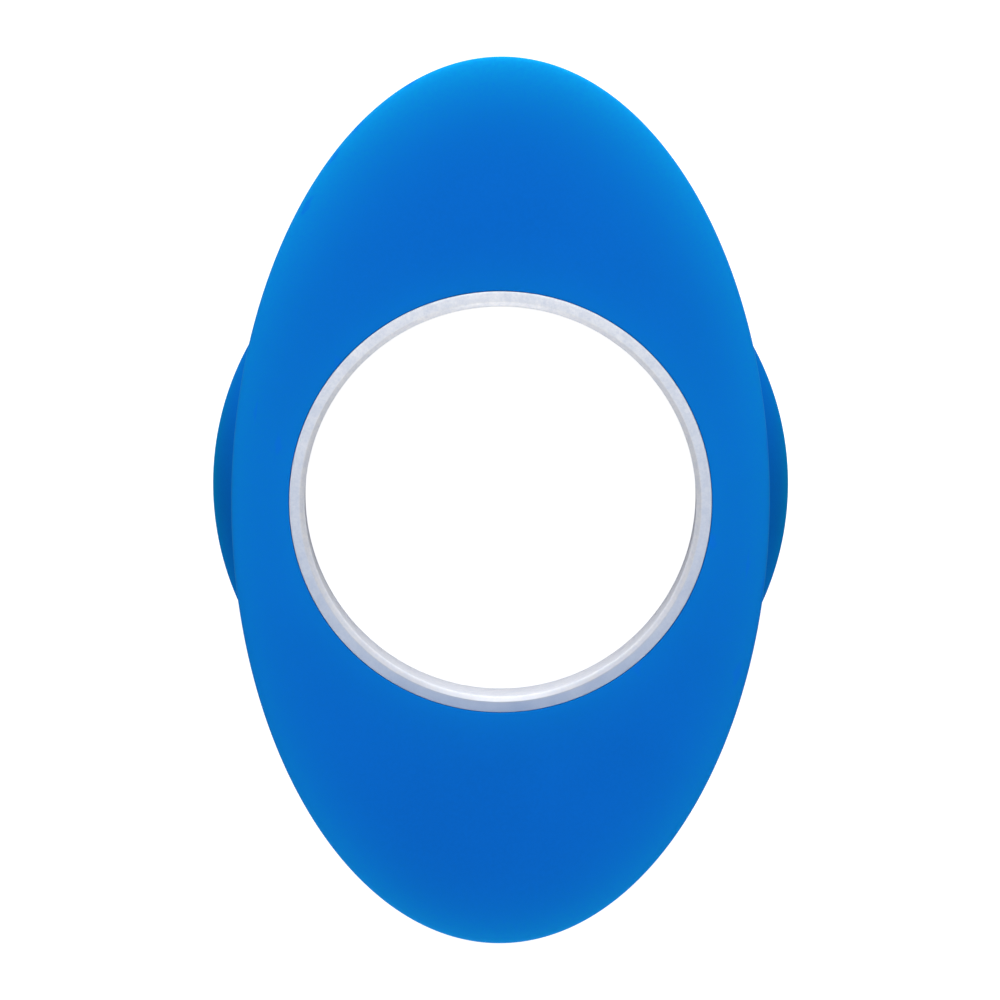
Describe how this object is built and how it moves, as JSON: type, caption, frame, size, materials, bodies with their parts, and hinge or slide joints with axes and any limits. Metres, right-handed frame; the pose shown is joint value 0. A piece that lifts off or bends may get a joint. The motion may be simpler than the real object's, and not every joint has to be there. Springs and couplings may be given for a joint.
{
  "type": "case opening friction ball",
  "caption": "Oval finger grip on a round ball body, with a clear friction ring around a through hole for turning screwed watch case backs.",
  "frame": {"origin": "centre of the bore axis on the plane of the rear rim, on which the tool stands", "axes": "+Z along the bore axis towards the front with the friction ring, +Y along the long axis of the oval grip"},
  "size_m": [0.058, 0.089, 0.032],
  "materials": {
    "grip_rubber": "satin soft-touch",
    "ball_rubber": "satin soft-touch",
    "friction_ring": "clear milky polyurethane",
    "rigid_core": "moulded",
    "sleeve": "blue anodised",
    "nut": "clear anodised",
    "pins": "ground"
  },
  "bodies": {
    "holder": {"oval_grip": "grip_rubber", "wing_core": "rigid_core", "ball_skin": "ball_rubber", "ball_core": "rigid_core", "core_sleeve": "sleeve", "clamp_nut": "nut", "drive_pins": "pins"},
    "ring": {"friction_ring": "friction_ring"}
  },
  "joints": [
    {"name": "friction_ring_pull", "type": "slide", "parent": "holder", "child": "ring", "axis": [0, 0, 1], "range_m": [0, 0.016]}
  ]
}
